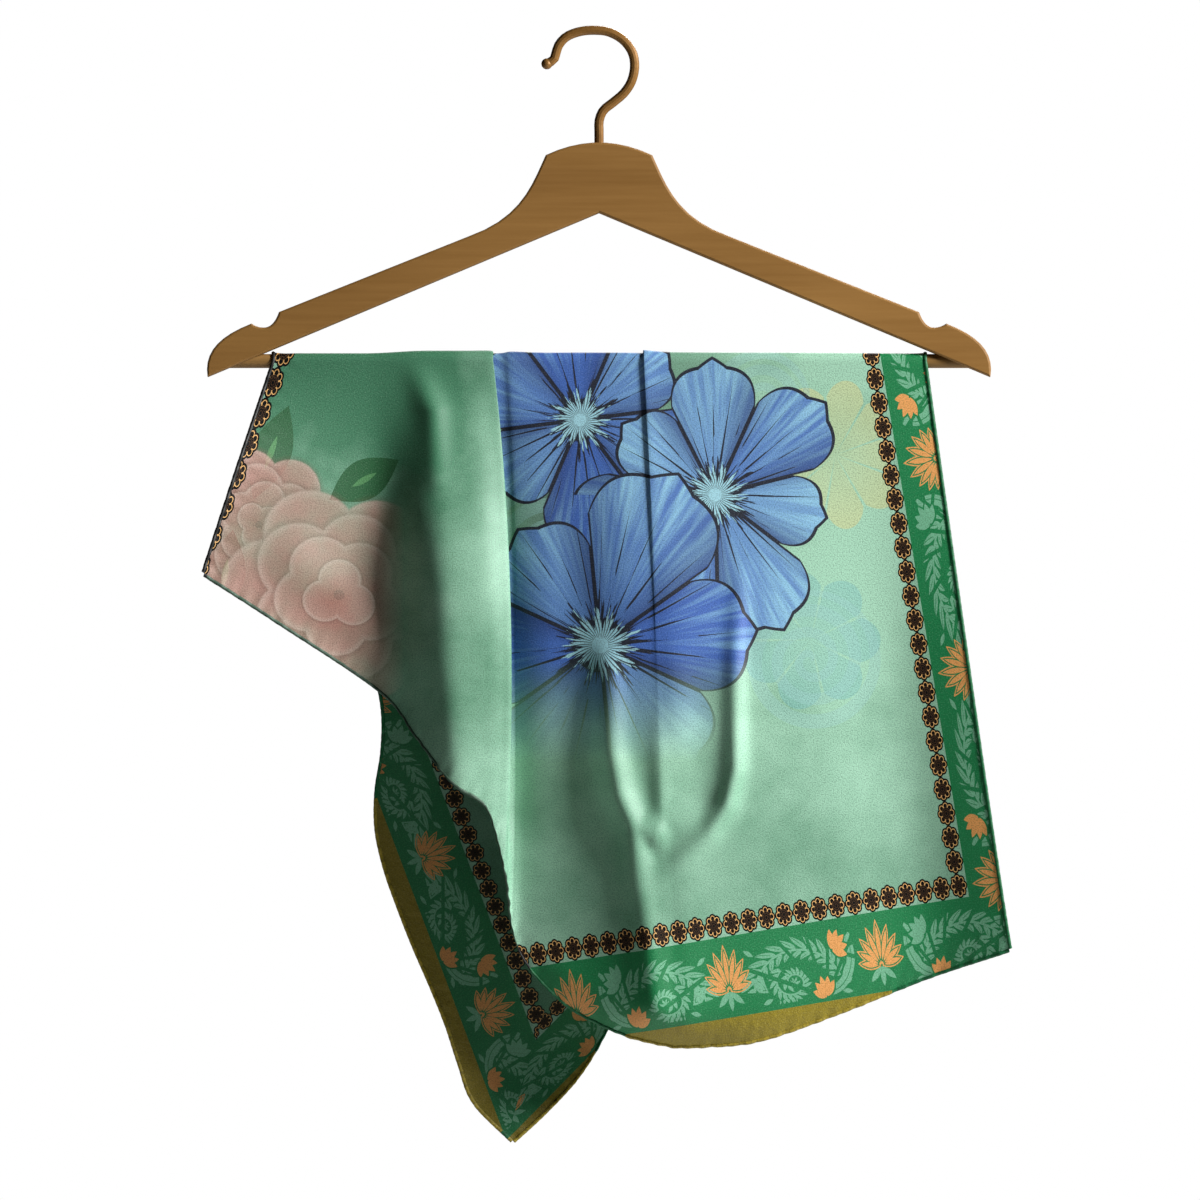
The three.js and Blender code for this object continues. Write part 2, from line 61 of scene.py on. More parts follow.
# One row for each lengthwise line of the cloth, from its left edge to its right edge.
# bar: x where it crosses the bar; layer: how many cloths lie under it there.
# x, z: where it ends at the hem; ease: how fast it swings from bar to hem;
# mid, out: how far it stands off the bar's face half way down and at the hem; bow: sideways bow.
FALL = ("x", "z", "ease", "mid", "out", "bow")
LINES = [
    # name, bar, layer, front fall, back fall
    ("left edge", -183.9, 0, (-222.6, -305.5, 1, 21, 33, 0), (-49, -628, 1, 9, 10, -24)),
    ("flap outer", -156, 0, (-183, -331.3, 1, 13, 23, 0), (-32, -612.5, 1, 11, 14, -17)),
    ("flap valley", -128, 0.1, (-124, -371.5, 1, 7, 9, 2), (-15, -595, 1, 15, 22, -9)),
    ("flap rise", -104, 1.8, (-103, -397.5, 1, 20, 17, 4), (-4, -580, 1, 21, 29, -3)),
    ("flap slope", -88, 2, (-83, -422.5, 1, 27, 25, 5), (3, -568, 1.05, 25, 34, -1)),
    ("flap shoulder", -74, 2, (-64.5, -435.5, 1, 29, 28, 6), (8, -559, 1.1, 27, 37, 0)),
    ("ridge start", -63.5, 2.1, (-57, -456, 1, 27, 27, 6.5), (12, -552, 1.2, 28.5, 38, 0)),
    ("ridge", -60, 1.55, (-53.6, -471.5, 1, 24.5, 25, 7), (15, -547, 1.2, 25.5, 37.5, 0)),
    ("turn under", -63.5, 1, (-52.7, -476, 1.3, 20.5, 22.5, 5.5), (18, -543, 1.2, 21, 35.5, 0)),
    ("middle layer", -78, 1, (-52, -481, 1.3, 16, 20.5, 4.5), (23, -536, 1.2, 17.5, 30.5, 0)),
    ("inner turn start", -92.5, 1, (-51.6, -485, 1.3, 12, 18.5, 4), (28, -530, 1.2, 15, 25, 0)),
    ("inner turn", -96, 0.5, (-51.3, -488, 1.3, 9.5, 17.3, 4), (31, -527, 1.2, 12, 21.5, 0)),
    ("underlay start", -92.5, 0, (-51.1, -491, 1.3, 7, 16.2, 4), (34, -524, 1.2, 10, 18, 0)),
    ("underlay", -76, 0, (-50.7, -495, 1.3, 5, 15, 4), (39, -519, 1.2, 7, 13.5, 0)),
    ("pleat floor", -57, 0, (-50, -501, 1.3, 4, 13.5, 4), (46, -512, 1.2, 5, 9, 0)),
    ("second ridge", -50, 1.3, (-48.4, -508.5, 1.3, 4.5, 12.5, 3), (53, -505, 1.2, 8, 9, 0)),
    ("right of ridge", -39, 0.8, (-43.5, -521.5, 1.3, 6, 12, 1), (60, -498.5, 1.2, 12, 15, 0)),
    ("beside ridge", -28, 0.5, (-32.5, -536, 1.2, 8, 14, 0), (68, -491.5, 1.1, 16, 24, 0)),
    ("hollow", -12, 0.6, (-14, -552.2, 1, 11, 18, 0), (77, -484, 1, 18, 31, 0)),
    ("before crease", 12, 0.5, (14, -565.7, 1, 19.2, 22.6, 0), (86, -477.5, 1, 15, 29, 0)),
    ("crease foot", 26.2, 0.4, (35, -571.3, 1, 21.8, 24.6, 0), (94, -471, 1, 11, 19, 0)),
    ("crease", 25.6, 2.4, (43, -572.7, 1.2, 22.3, 24.9, 0), (98, -468, 1.2, 9, 14, 0)),
    ("after crease", 40, 1, (58, -572.5, 1, 22.5, 25, 0), (104, -463, 1, 5.5, 9, 0)),
    ("belly", 72, 0.6, (91, -569, 1, 18, 22, 0), (114, -456, 1, 6.5, 12, 0)),
    ("right field", 110, 0.5, (137, -553.2, 1, 13, 15, 0), (125, -449, 1, 13, 26, 0)),
    ("right border", 150, 0.1, (186, -533.6, 1, 9, 10, 0), (135.5, -442, 1, 18, 32, 0)),
    ("right edge", 184.2, 0, (231.6, -517.8, 0.95, 15, 22, 0), (144, -436, 1, 12, 24, 0)),
]
LAST_LINE = len(LINES) - 1
BAR_X = [row[1] for row in LINES]
LAYERS = [row[2] for row in LINES]
FRONT = {key: [row[3][i] for row in LINES] for i, key in enumerate(FALL)}
BACK = {key: [row[4][i] for row in LINES] for i, key in enumerate(FALL)}

# Soft folds of the front fall: width, then x, z and height along the crest (or trough, if below 0)
FRONT_FOLDS = [
    # the swag's left limb and its foot, then back and on down to the hem
    (8.5, [
        (2, -340, 0), (5, -368, 5), (6, -404, 7.5), (11, -431, 8.5), (19, -449, 8.5), (30, -453, 6),
        (37, -446, 1.5), (30, -453, 6), (19, -449, 8.5), (22, -480, 5), (27, -512, 4), (31, -550, 4),
    ]),
    (22, [(30, -465, 0), (32, -492, 4), (36, -550, 5)]),
    # its inner limb, its right limb and the hollow between
    (6, [(33, -375, 0), (34, -405, 1.5), (35, -430, 2.5), (33, -446, 1.5)]),
    (5.5, [
        (80, -300, 0), (77, -349, 3), (77, -417, 5.5), (72, -437, 6), (62, -452, 4.5),
        (46, -466, 2), (28, -480, 0),
    ]),
    (13, [(57, -340, 0), (57, -385, -2.5), (55, -430, -3), (50, -442, 0)]),
    # the flap: gathered at the bar, a crest down to its hem, and its low corner
    (8, [(-104, -186, 4), (-94, -213, 4), (-92, -250, 2)]),
    (15, [(-92, -215, 1), (-92, -300, 5), (-88, -370, 7), (-82, -432, 7)]),
    (13, [(-56, -195, -2), (-54, -300, -3.5), (-50, -440, -4)]),
    (16, [(-170, -300, 3), (-110, -355, 3)]),
]
# The back's left edge hangs in behind the flap and swings out below it: each twentieth of its fall
LOW_BOW = [
    0, -0.04, -0.07, -0.11, -0.15, -0.18, -0.2, -0.2, -0.16, -0.04, 0.26,
    0.68, 0.96, 1.04, 1, 0.92, 0.8, 0.71, 0.69, 0.62, 0,
]


def through(values, u):
    """Smooth curve through evenly numbered values, one for each row of the table."""
    values = np.asarray(values, float)
    last = len(values) - 1
    i = np.minimum(np.floor(u).astype(int), last - 1)
    f = u - i
    b, c = values[i], values[i + 1]
    a = np.where(i > 0, values[np.maximum(i - 1, 0)], 2 * b - c)
    d = np.where(i + 2 <= last, values[np.minimum(i + 2, last)], 2 * c - b)
    return b + 0.5 * f * (c - a + f * (2 * a - 5 * b + 4 * c - d + f * (3 * (b - c) + d - a)))


def hermite(p, m, q, n, f):
    return (
        p * (2 * f**3 - 3 * f**2 + 1) + m * (f**3 - 2 * f**2 + f)
        + q * (3 * f**2 - 2 * f**3) + n * (f**3 - f**2)
    )


def stand_off(start, mid, out, t):
    """Starts square to the bar, passes mid half way down, ends at out."""
    level, middle, foot = 0 * start, (out - start) / 2, out - mid
    upper = hermite(start, level, mid, middle, t * 2)
    lower = hermite(mid, middle, out, foot, t * 2 - 1)
    return np.where(t < 0.5, upper, lower)


def fold_height(x, z):
    """Sum of the soft folds, each a rounded ridge that follows its path."""
    total = 0
    for width, path in FRONT_FOLDS:
        best = 0
        for (x0, z0, h0), (x1, z1, h1) in zip(path, path[1:]):
            length2 = (x1 - x0) ** 2 + (z1 - z0) ** 2
            f = np.clip(((x - x0) * (x1 - x0) + (z - z0) * (z1 - z0)) / length2, 0, 1)
            away = np.hypot(x - x0 - f * (x1 - x0), z - z0 - f * (z1 - z0))
            ridge = (h0 + f * (h1 - h0)) * np.exp(-((away / width) ** 2))
            best = np.where(np.abs(ridge) > np.abs(best), ridge, best)
        total = total + best
    return total


def cloth_radius(u, most_layers=9):
    layers = np.minimum(most_layers, LAYERS)
    return BAR_RADIUS + GAP + SILK_HALF + LAYER_PITCH * np.maximum(0, through(layers, u))


def fall_point(side, u, t):
    """Point of a fall at line number u, share t of the way from bar to hem."""
    fall = FRONT if side == "front" else BACK
    bow = 4 * t * (1 - t) if side == "front" else through(LOW_BOW, t * (len(LOW_BOW) - 1))
    hem_x, hem_z = through(fall["x"], u), through(fall["z"], u)
    swing = (1 - t) ** through(fall["ease"], u)
    x = hem_x + (through(BAR_X, u) - hem_x) * swing + through(fall["bow"], u) * bow
    z = BAR_Z + (hem_z - BAR_Z) * t
    # below the bar the extra height of a pinched fold dies out
    level = cloth_radius(u, most_layers=0.5)
    mid, out = level + through(fall["mid"], u), level + through(fall["out"], u)
    off = stand_off(cloth_radius(u), mid, out, t)
    if side == "front":
        off = off + fold_height(x, z) * np.minimum(1, t * 8)
        # the lowest part of the belly curls back under itself
        curl = np.clip((t - CURL_FROM) / (1 - CURL_FROM), 0, 1) ** 2
        curl = curl * np.exp(-(((u - CURL_LINE) / CURL_SPREAD) ** 2))
        off = off - HEM_CURL * curl
    return np.stack([x, -off if side == "front" else off, z], axis=-1)


def cloth_point(u, v):
    """v runs from the front hem (-1) up to the bar (0), over it (1) and down to the back hem (2)."""
    u, v = np.broadcast_arrays(np.asarray(u, float), np.asarray(v, float))
    radius, angle = cloth_radius(u), np.pi * np.clip(v, 0, 1)
    arc = np.stack(
        [through(BAR_X, u), -radius * np.cos(angle), BAR_Z + radius * np.sin(angle)], axis=-1
    )
    front = fall_point("front", u, np.clip(-v, 0, 1))
    back = fall_point("back", u, np.clip(v - 1, 0, 1))
    v = v[..., None]
    return np.where(v < 0, front, np.where(v > 1, back, arc))


def columns():
    """Line numbers of the grid: enough between two lines to keep its pitch everywhere."""
    ends = [cloth_point(np.arange(LAST_LINE + 1), v) for v in (-1, -0.5, 0, 1.5, 2)]
    widths = np.max([np.linalg.norm(np.diff(p, axis=0), axis=1) for p in ends], axis=0)
    us = [
        np.arange(n) / n + i
        for i, n in enumerate(np.maximum(4, np.ceil(widths / GRID_PITCH)).astype(int))
    ]
    return np.concatenate([*us, [LAST_LINE]])


def rows():
    """Places along the fall: closer together near the bar, where the folds start."""
    fall = (BAR_Z - min(FRONT["z"])) / GRID_PITCH, (BAR_Z - min(BACK["z"])) / GRID_PITCH
    front = -((np.arange(int(fall[0] * 0.6), 0, -1) / int(fall[0] * 0.6)) ** 1.15)
    back = 1 + (np.arange(1, int(fall[1] * 0.55) + 1) / int(fall[1] * 0.55)) ** 1.15
    return np.concatenate([front, np.linspace(0, 1, 11), back])


US, VS = columns(), rows()


def mesh_object(name, points, faces):
    mesh = bpy.data.meshes.new(name)
    mesh.from_pydata((np.asarray(points) * MM).tolist(), [], faces.tolist())
    mesh.shade_smooth()
    obj = bpy.data.objects.new(name, mesh)
    bpy.context.collection.objects.link(obj)
    return obj


def grid_faces(count_u, count_v, closed=False):
    steps_v = count_v if closed else count_v - 1
    i, j = np.meshgrid(np.arange(count_u - 1), np.arange(steps_v), indexing="ij")
    k = (j + 1) % count_v
    return np.stack(
        [i * count_v + j, (i + 1) * count_v + j, (i + 1) * count_v + k, i * count_v + k], axis=-1
    ).reshape(-1, 4)


def normals_of(grid):
    normal = np.cross(np.gradient(grid, axis=0), np.gradient(grid, axis=1))
    return normal / np.linalg.norm(normal, axis=2, keepdims=True)


def arc_length(grid, axis):
    steps = np.linalg.norm(np.diff(grid, axis=axis), axis=2)
    zero = np.zeros_like(np.take(steps, [0], axis=axis))
    return np.cumsum(np.concatenate([zero, steps], axis=axis), axis=axis)


def edge_distances(grid):
    """For each point: how far the nearest side edge and hem are, and where it lies along them."""
    across, down = arc_length(grid, 0), arc_length(grid, 1)
    to_side = np.minimum(across, across[-1:] - across)
    to_hem = np.minimum(down, down[:, -1:] - down)
    return to_side, to_hem, across, down


def puckered(grid):
    """The hem's stitching gathers the silk into small ripples that die out away from the edge."""
    to_side, to_hem, across, down = edge_distances(grid)
    height = sum(
        np.exp(-distance / PUCKER_REACH)
        * (np.sin(2 * np.pi * along / PUCKER_PITCH) + 0.6 * np.sin(2 * np.pi * along / 13.7 + 1))
        for distance, along in ((to_side, down), (to_hem, across))
    )
    return grid + (PUCKER_HEIGHT * height)[..., None] * normals_of(grid)


def make_scarf():
    grid = puckered(cloth_point(US[:, None], VS[None, :]))
    obj = mesh_object("scarf", grid.reshape(-1, 3), grid_faces(len(US), len(VS)))
    return obj, grid


def make_hem(name, rim, inner, normal, places):
    """A rolled hem along an edge of the cloth, pinched by a stitch every few millimetres."""
    length = np.concatenate([[0], np.cumsum(np.linalg.norm(np.diff(rim, axis=0), axis=1))])
    stations = np.linspace(0, length[-1], int(length[-1] / HEM_STEP))
    rim, inner, normal = (
        np.stack([np.interp(stations, length, part[:, k]) for k in range(3)], axis=-1)
        for part in (rim, inner, normal)
    )
    outward = rim - inner
    outward -= (outward * normal).sum(1, keepdims=True) * normal
    outward /= np.linalg.norm(outward, axis=1, keepdims=True)
    angle = 2 * np.pi * np.arange(HEM_SIDES) / HEM_SIDES
    from_stitch = stations % STITCH_PITCH - STITCH_PITCH / 2
    pinch = 1 - STITCH_PINCH * np.exp(-(from_stitch / STITCH_HALF_LENGTH) ** 2)[:, None, None]
    ring = (
        np.cos(angle)[None, :, None] * HEM_HALF_WIDTH * outward[:, None]
        + np.sin(angle)[None, :, None] * HEM_HALF_THICKNESS * normal[:, None]
    )
    centre = rim + HEM_HALF_WIDTH * 0.8 * outward
    points = centre[:, None] + ring * pinch
    faces = grid_faces(len(stations), HEM_SIDES, closed=True)
    hem = mesh_object(name, points.reshape(-1, 3), faces)
    for key, value in places.items():
        along = np.stack([np.interp(stations, length, value[:, k]) for k in range(2)], axis=-1)
        store_places(hem, {key: np.repeat(along[:, None], HEM_SIDES, axis=1)})
    return hem


# The print. Its border is drawn in units of one rosette of the chain, whose middle is at across 0:
# across runs outwards to the hem and along runs beside it. Places are in photograph pixels.
BORDER_COLUMNS = ("corner", "along", "outward", "pitch", "lotus")
BORDERS = {
    # a corner of the chain, direction along, outward side, pixels per unit across and along,
    # and where a palmette stands along it
    name: dict(zip(BORDER_COLUMNS, row))
    for name, *row in (
        ("front right", (957, 885), (0.160, 0.987), (0.987, -0.160), (17.7, 24.4), 0.0),
        ("front hem", (957, 885), (0.987, -0.160), (0.160, 0.987), (24.4, 17.7), -4.95),
        ("front left", (285, 352), (-0.359, 0.933), (-0.933, -0.359), (20, 33), -3.0),
        ("back left", (540, 1027), (0.353, 0.935), (-0.935, 0.353), (19, 19.3), -1.6),
        ("back hem", (540, 1027), (0.707, -0.707), (0.707, 0.707), (15, 19), 4.3),
        ("back right", (775, 788), (-0.213, 0.977), (0.977, 0.213), (17.7, 24.4), 0.0),
    )
}
LOTUS_PERIOD = 8.7
BAND_INNER, BAND_OUTER = 0.5, 3.8
# Within the pleat the print changes over from the left border to the right one
PRINT_TURN = 12
PLEAT_HIDES = 1.3
# Behind the bar the wrong side of the silk faces forward: from this share of its fall down its print
# is darkened, painted shade for the shadow the front fall casts on it
BACK_SHADE_FROM, BACK_SHADE_AMOUNT = 0.4, 0.34


def border_place(border, px, py):
    dx, dy = px - border["corner"][0], py - border["corner"][1]
    across = (dx * border["outward"][0] + dy * border["outward"][1]) / border["pitch"][0]
    along = (dx * border["along"][0] + dy * border["along"][1]) / border["pitch"][1]
    return across, along - border["lotus"]


def print_places(grid):
    """For each point: its place in the side border, in the hem border and in the middle picture."""
    px = PX_X0 + grid[..., 0] / PX
    py = PX_Z0 - grid[..., 2] / PX
    left = US[:, None] < PRINT_TURN
    front = VS[None, :] <= 0.5
    side, hem = [np.zeros(px.shape + (2,)) for _ in range(2)]
    side_of = {
        (True, True): "front left", (True, False): "front right",
        (False, True): "back left", (False, False): "back right",
    }
    for (on_front, on_left), name in side_of.items():
        where = (front == on_front) & (left == on_left)
        side[where] = np.stack(border_place(BORDERS[name], px, py), axis=-1)[where]
    for on_front, name in ((True, "front hem"), (False, "back hem")):
        where = np.broadcast_to(front == on_front, px.shape)
        hem[where] = np.stack(border_place(BORDERS[name], px, py), axis=-1)[where]
    # the left flap has no border along its hem
    hem[np.broadcast_to(front & left, px.shape)] = (-50, 0)
    lean = np.where(front, 0, 0.28 * (py - 352))
    hidden = np.where(left, PLEAT_HIDES, 0)
    art = np.stack([(px - lean) / 100 - hidden, py / 100 + 0 * hidden], axis=-1)
    # painted shade: how far down the back fall each point is darkened
    behind = np.broadcast_to(np.clip((VS[None, :] - 1) / BACK_SHADE_FROM, 0, 1), px.shape)
    painted_back_shade = np.stack([behind, 0 * behind], axis=-1)
    return {"side_border": side, "hem_border": hem, "picture": art, "painted_back_shade": painted_back_shade}


def store_places(obj, places):
    corner_vertex = np.zeros(len(obj.data.loops), dtype=np.int32)
    obj.data.loops.foreach_get("vertex_index", corner_vertex)
    for name, values in places.items():
        layer = obj.data.uv_layers.new(name=name)
        layer.data.foreach_set("uv", values.reshape(-1, 2)[corner_vertex].ravel())


class Field:
    """A number that varies over a surface, so that a printed motif reads as a formula."""

    def __init__(self, tree, source):
        self.tree, self.source = tree, source

    def __add__(self, other):
        return calc("ADD", self, other)

    def __sub__(self, other):
        return calc("SUBTRACT", self, other)

    def __rsub__(self, other):
        return calc("SUBTRACT", other, self)

    def __mul__(self, other):
        return calc("MULTIPLY", self, other)

    def __truediv__(self, other):
        return calc("DIVIDE", self, other)

    def __pow__(self, other):
        return calc("POWER", self, other)

    def __lt__(self, other):
        return calc("LESS_THAN", self, other)

    def __gt__(self, other):
        return calc("GREATER_THAN", self, other)

    def __neg__(self):
        return calc("MULTIPLY", self, -1)

    __radd__, __rmul__ = __add__, __mul__


def calc(operation, *values):
    tree = next(v.tree for v in values if isinstance(v, Field))
    node = tree.nodes.new("ShaderNodeMath")
    node.operation = operation
    for socket, value in zip(node.inputs, values):
        if isinstance(value, Field):
            tree.links.new(value.source, socket)
        else:
            socket.default_value = value
    return Field(tree, node.outputs[0])


def absolute(a):
    return calc("ABSOLUTE", a)


def either(a, *others):
    for other in others:
        a = calc("MAXIMUM", a, other)
    return a


def lower(a, b):
    return calc("MINIMUM", a, b)


def clamp(a, low=0, high=1):
    return lower(calc("MAXIMUM", a, low), high)


def ramp(a, low, high):
    """0 below low, 1 above high, straight between."""
    return clamp((a - low) / (high - low))


def hypot(x, y):
    return calc("SQRT", x * x + y * y)


def turned(x, y, degrees):
    c, s = np.cos(np.radians(degrees)), np.sin(np.radians(degrees))
    return x * c + y * s, y * c - x * s


def cell(a, size):
    """Distance from the nearest whole multiple of size, and that multiple's number."""
    number = calc("FLOOR", a / size + 0.5)
    return a - number * size, number


def polar(x, y):
    return hypot(x, y), calc("ARCTAN2", y, x)


def linear(*rgb):
    """A colour given as in a picture editor, 0 to 255, made linear."""
    return tuple(((c / 255 + 0.055) / 1.055) ** 2.4 if c > 10 else c / 3295 for c in rgb)


def over(below, mask, above, tree):
    """Lays one colour over another where the mask is 1."""
    node = tree.nodes.new("ShaderNodeMix")
    node.data_type = "RGBA"
    factor, a, b = node.inputs[0], node.inputs[6], node.inputs[7]
    if isinstance(mask, Field):
        tree.links.new(mask.source, factor)
    else:
        factor.default_value = mask
    for socket, colour in ((a, below), (b, above)):
        if isinstance(colour, tuple):
            socket.default_value = (*colour, 1)
        else:
            tree.links.new(colour, socket)
    return node.outputs[2]


def noise(tree, vector, scale, detail=2.0, roughness=0.5):
    node = tree.nodes.new("ShaderNodeTexNoise")
    node.inputs["Scale"].default_value = scale
    node.inputs["Detail"].default_value = detail
    node.inputs["Roughness"].default_value = roughness
    tree.links.new(vector, node.inputs["Vector"])
    return Field(tree, node.outputs["Fac"])


def uv_vector(tree, name):
    node = tree.nodes.new("ShaderNodeUVMap")
    node.uv_map = name
    return node.outputs[0]


def uv_place(tree, name):
    split = tree.nodes.new("ShaderNodeSeparateXYZ")
    tree.links.new(uv_vector(tree, name), split.inputs[0])
    return Field(tree, split.outputs[0]), Field(tree, split.outputs[1])


INK = {
    "mint": linear(150, 200, 170),
    "black": linear(10, 8, 10),
    "gold": linear(240, 186, 112),
    "green": linear(2, 132, 72),
    "pale": linear(118, 188, 148),
    "orange": linear(240, 168, 92),
    "yellow": linear(154, 136, 4),
    "blue": linear(66, 108, 190),
    "light blue": linear(150, 205, 235),
    "deep blue": linear(34, 58, 120),
    "indigo": linear(18, 24, 44),
    "pink": linear(214, 160, 150),
    "rose": linear(170, 70, 66),
    "leaf": linear(40, 104, 60),
    "straw": linear(214, 216, 150),
}


def rosette(across, along):
    """One flower of the chain: black scallops, gold petal loops and a dark ringed heart."""
    r, angle = polar(across, cell(along, 1)[0])
    turn = cell(angle, np.pi / 4)[0]
    reach, aside = r * calc("COSINE", turn), r * calc("SINE", turn)
    loop, inner_loop = hypot(reach - 0.31, aside), hypot(reach - 0.2, aside)
    black = either(r < 0.4, loop < 0.2)
    gold = (loop < 0.128) * (loop > 0.094) * (r > 0.25)
    ring = either(absolute(inner_loop - 0.052) < 0.012, absolute(r - 0.08) < 0.012)
    return black, gold, ring


def fan(x, y, petals, spread, length, shrink, width):
    """Pointed petals fanned about the x axis: how far inside a petal's edge a point is."""
    r, angle = polar(x, y)
    step = np.radians(spread)
    half = (petals - 1) / 2
    number = clamp(calc("FLOOR", angle / step + 0.5), -half, half)
    turn = angle - number * step
    tip = length - shrink * absolute(number)
    share = clamp(r * calc("COSINE", turn) / tip)
    return width * calc("SINE", share * np.pi) ** 0.85 - absolute(r * calc("SINE", turn)), share


def palmette(across, along):
    """A nine-petalled lotus that opens towards the chain, on a calyx of three leaves."""
    inside, share = fan(2.72 - across, along, 9, 20, 1.92, 0.15, 0.22)
    line = (inside > 0.055) * (inside < 0.105) * (share > 0.1)
    petal = (inside > 0) * (share > 0.04) * (1 - line)
    leaf_inside, _ = fan(across - 2.76, along, 3, 52, 0.8, -0.1, 0.14)
    return petal, leaf_inside > 0


def leaf(x, y, x0, y0, degrees, length, width):
    """A pointed leaf that starts at x0, y0 and points along degrees."""
    u, v = turned(x - x0, y - y0, degrees)
    return width * calc("SINE", clamp(u / length) * np.pi) - absolute(v)


def spiral(x, y, x0, y0, radius, pitch, way):
    r, angle = polar(x - x0, (y - y0) * way)
    gap = cell(r / pitch - angle / (2 * np.pi), 1)[0]
    return (absolute(gap) * pitch < 0.035 + 0.06 * r) * (r < radius)


def leafy_spiral(x, y, x0, y0, pitch, windings, stretch, start):
    """A stem that winds inwards, with small leaves all along its outer side."""
    r, angle = polar(*turned((x - x0) / stretch, y - y0, start))
    place = r / pitch + angle / (2 * np.pi)
    rise = calc("FRACT", place) * pitch
    tip = 0.85 * pitch
    arc = angle * pitch * (calc("FLOOR", place) + 0.75)
    beat = cell(arc - 0.9 * rise, 0.62 * pitch)[0]
    half = 0.25 * pitch * calc("SINE", clamp(rise / tip) ** 0.8 * np.pi)
    leaves = (half > absolute(beat)) * (rise < tip)
    return either(leaves, rise < 0.07) * (place < windings)


def sprig(x, y, x0, y0, degrees, size):
    """A half-open side flower of five petals."""
    u, v = turned(x - x0, y - y0, degrees)
    inside, share = fan(u, v, 5, 27, size, 0.05, 0.19 * size)
    return (inside > 0) * (share > 0.05), 1 - (inside > -0.09)


def scroll(across, along):
    """The scroll between two palmettes: a leafy spiral, a hooked leaf, buds and side flowers."""
    x, y = along, across
    # a leafy arch, unrolled: bend runs round it from the left, rise stands off it outwards
    r, angle = polar((x - 0.5) / -2.5, (3.25 - y) / 1.75)
    bend, rise = angle * 2.15, (r - 1) * 2.15
    height = absolute(rise)
    tip = 0.52 + 0.2 * (rise > 0)
    place = cell(bend - 0.95 * height + 0.25 * (rise > 0), 0.5)[0]
    half = 0.19 * calc("SINE", clamp(height / tip) ** 0.75 * np.pi)
    vein = (absolute(place) < 0.018) * (height > 0.2)
    arch = either((half > absolute(place)) * (1 - vein) * (height < tip), height < 0.055)
    arch = arch * (angle > 0.25) * (angle < 2.98)
    leafy = leafy_spiral(x, y, 0.75, 2.78, 0.42, 2, 1.5, 125)
    # a hooked leaf beside the palmette, split by a fine line, with a ball at its tip
    hook = (hypot(x + 1.3, y - 1.95) < 1.62) * (hypot(x + 1.1, y - 1.82) > 1.4)
    hook = hook * (x < -1.3) * (y > 1.25)
    split = 1 - (absolute(hypot(x + 1.22, y - 1.9) - 1.52) < 0.018)
    ball = hypot(x + 2.66, y - 1.28) < 0.17
    big = leaf(x, y, 2.2, 3.05, -38, 1.1, 0.26)
    big = (big > 0) * (1 - (absolute(big - 0.12) < 0.02))
    twigs = either(*(
        leaf(x, y, x0, y0, degrees, length, 0.1) > 0
        for x0, y0, degrees, length in (
            (2.75, 1.5, -30, 0.6), (2.7, 2.0, 20, 0.5), (-1.95, 3.45, 170, 0.6),
            (-2.15, 3.2, 205, 0.5), (2.0, 3.35, 15, 0.6),
        )
    ))
    dots = (hypot(cell(x - 0.9, 0.25)[0], y - 3.52) < 0.075) * (absolute(x - 1.15) < 0.5)
    side, beside_side = sprig(x, y, -1.05, 3.6, -75, 0.9)
    small, beside_small = sprig(x, y, -1.7, 1.75, 215, 0.95)
    pale = either(arch, leafy, hook * split, ball, big, twigs, dots) * beside_side * beside_small
    return pale, side, small


def blue_flower(picture, tree, x, y, x0, y0, radius, petals, start, pale=0.0):
    """A large open flower: broad petals with dark edges and veins, and a pale tuft of stamens."""
    r, angle = polar(x - x0, y - y0)
    r = r / radius
    width = np.pi / petals
    turn, number = cell(angle - start, 2 * width)
    share = absolute(turn) / width
    size = 0.87 + 0.13 * calc("SINE", number * 2.4 + start)
    edge = size * (1 - 0.26 * share**4 + 0.07 * (1 - clamp(share * 4)))
    inside = edge - r
    streak = petal_streaks(tree, turn, r, number, start)
    # each petal lies under its neighbour on one side, so that side is darker
    under = ramp(turn / width, 0.25, 1.0)
    tone = clamp(pale + 0.1 + 0.95 * ramp(r, 0.2, 1.0) * streak + 0.2 * calc("SINE", number * 4.1))
    body = over(INK["blue"], tone, INK["light blue"], tree)
    body = over(body, either(under * 0.75, ramp(share, 0.6, 1.0) * 0.4), INK["deep blue"], tree)
    veins = (absolute(cell(turn, 0.4 * width)[0]) * r < 0.011 - 0.014 * r) * (streak > 0.4)
    dark = either(
        inside * radius < 0.035,
        (width * r * (1 - share)) * radius < 0.02,
        veins * (r > 0.18),
        r < 0.15 + 0.16 * absolute(calc("SINE", angle * 9)) * streak,
    )
    body = over(body, dark, INK["indigo"], tree)
    ray = absolute(calc("SINE", angle * 7 + 5 * r)) * (0.05 + 0.12 * streak)
    tuft = (r < 0.08 + ray) * (absolute(calc("SINE", angle * 19 + 26 * r)) > 0.42)
    body = over(body, either(tuft, r < 0.045), linear(168, 220, 232), tree)
    return over(picture, inside > 0, body, tree)


def petal_streaks(tree, turn, r, number, seed):
    node = tree.nodes.new("ShaderNodeCombineXYZ")
    for socket, value in zip(node.inputs, (turn * 9, r * 0.9, number * 3.7 + seed)):
        tree.links.new(value.source, socket)
    return ramp(noise(tree, node.outputs[0], 2.2, 2.0), 0.38, 0.66)


ROSE_RINGS = [
    # distance of the petals from the middle, their radius, petals in the ring, turn
    (0.62, 0.44, 6, 0.3),
    (0.46, 0.38, 5, 1.1),
    (0.30, 0.30, 5, 0.2),
    (0.15, 0.20, 3, 0.8),
]


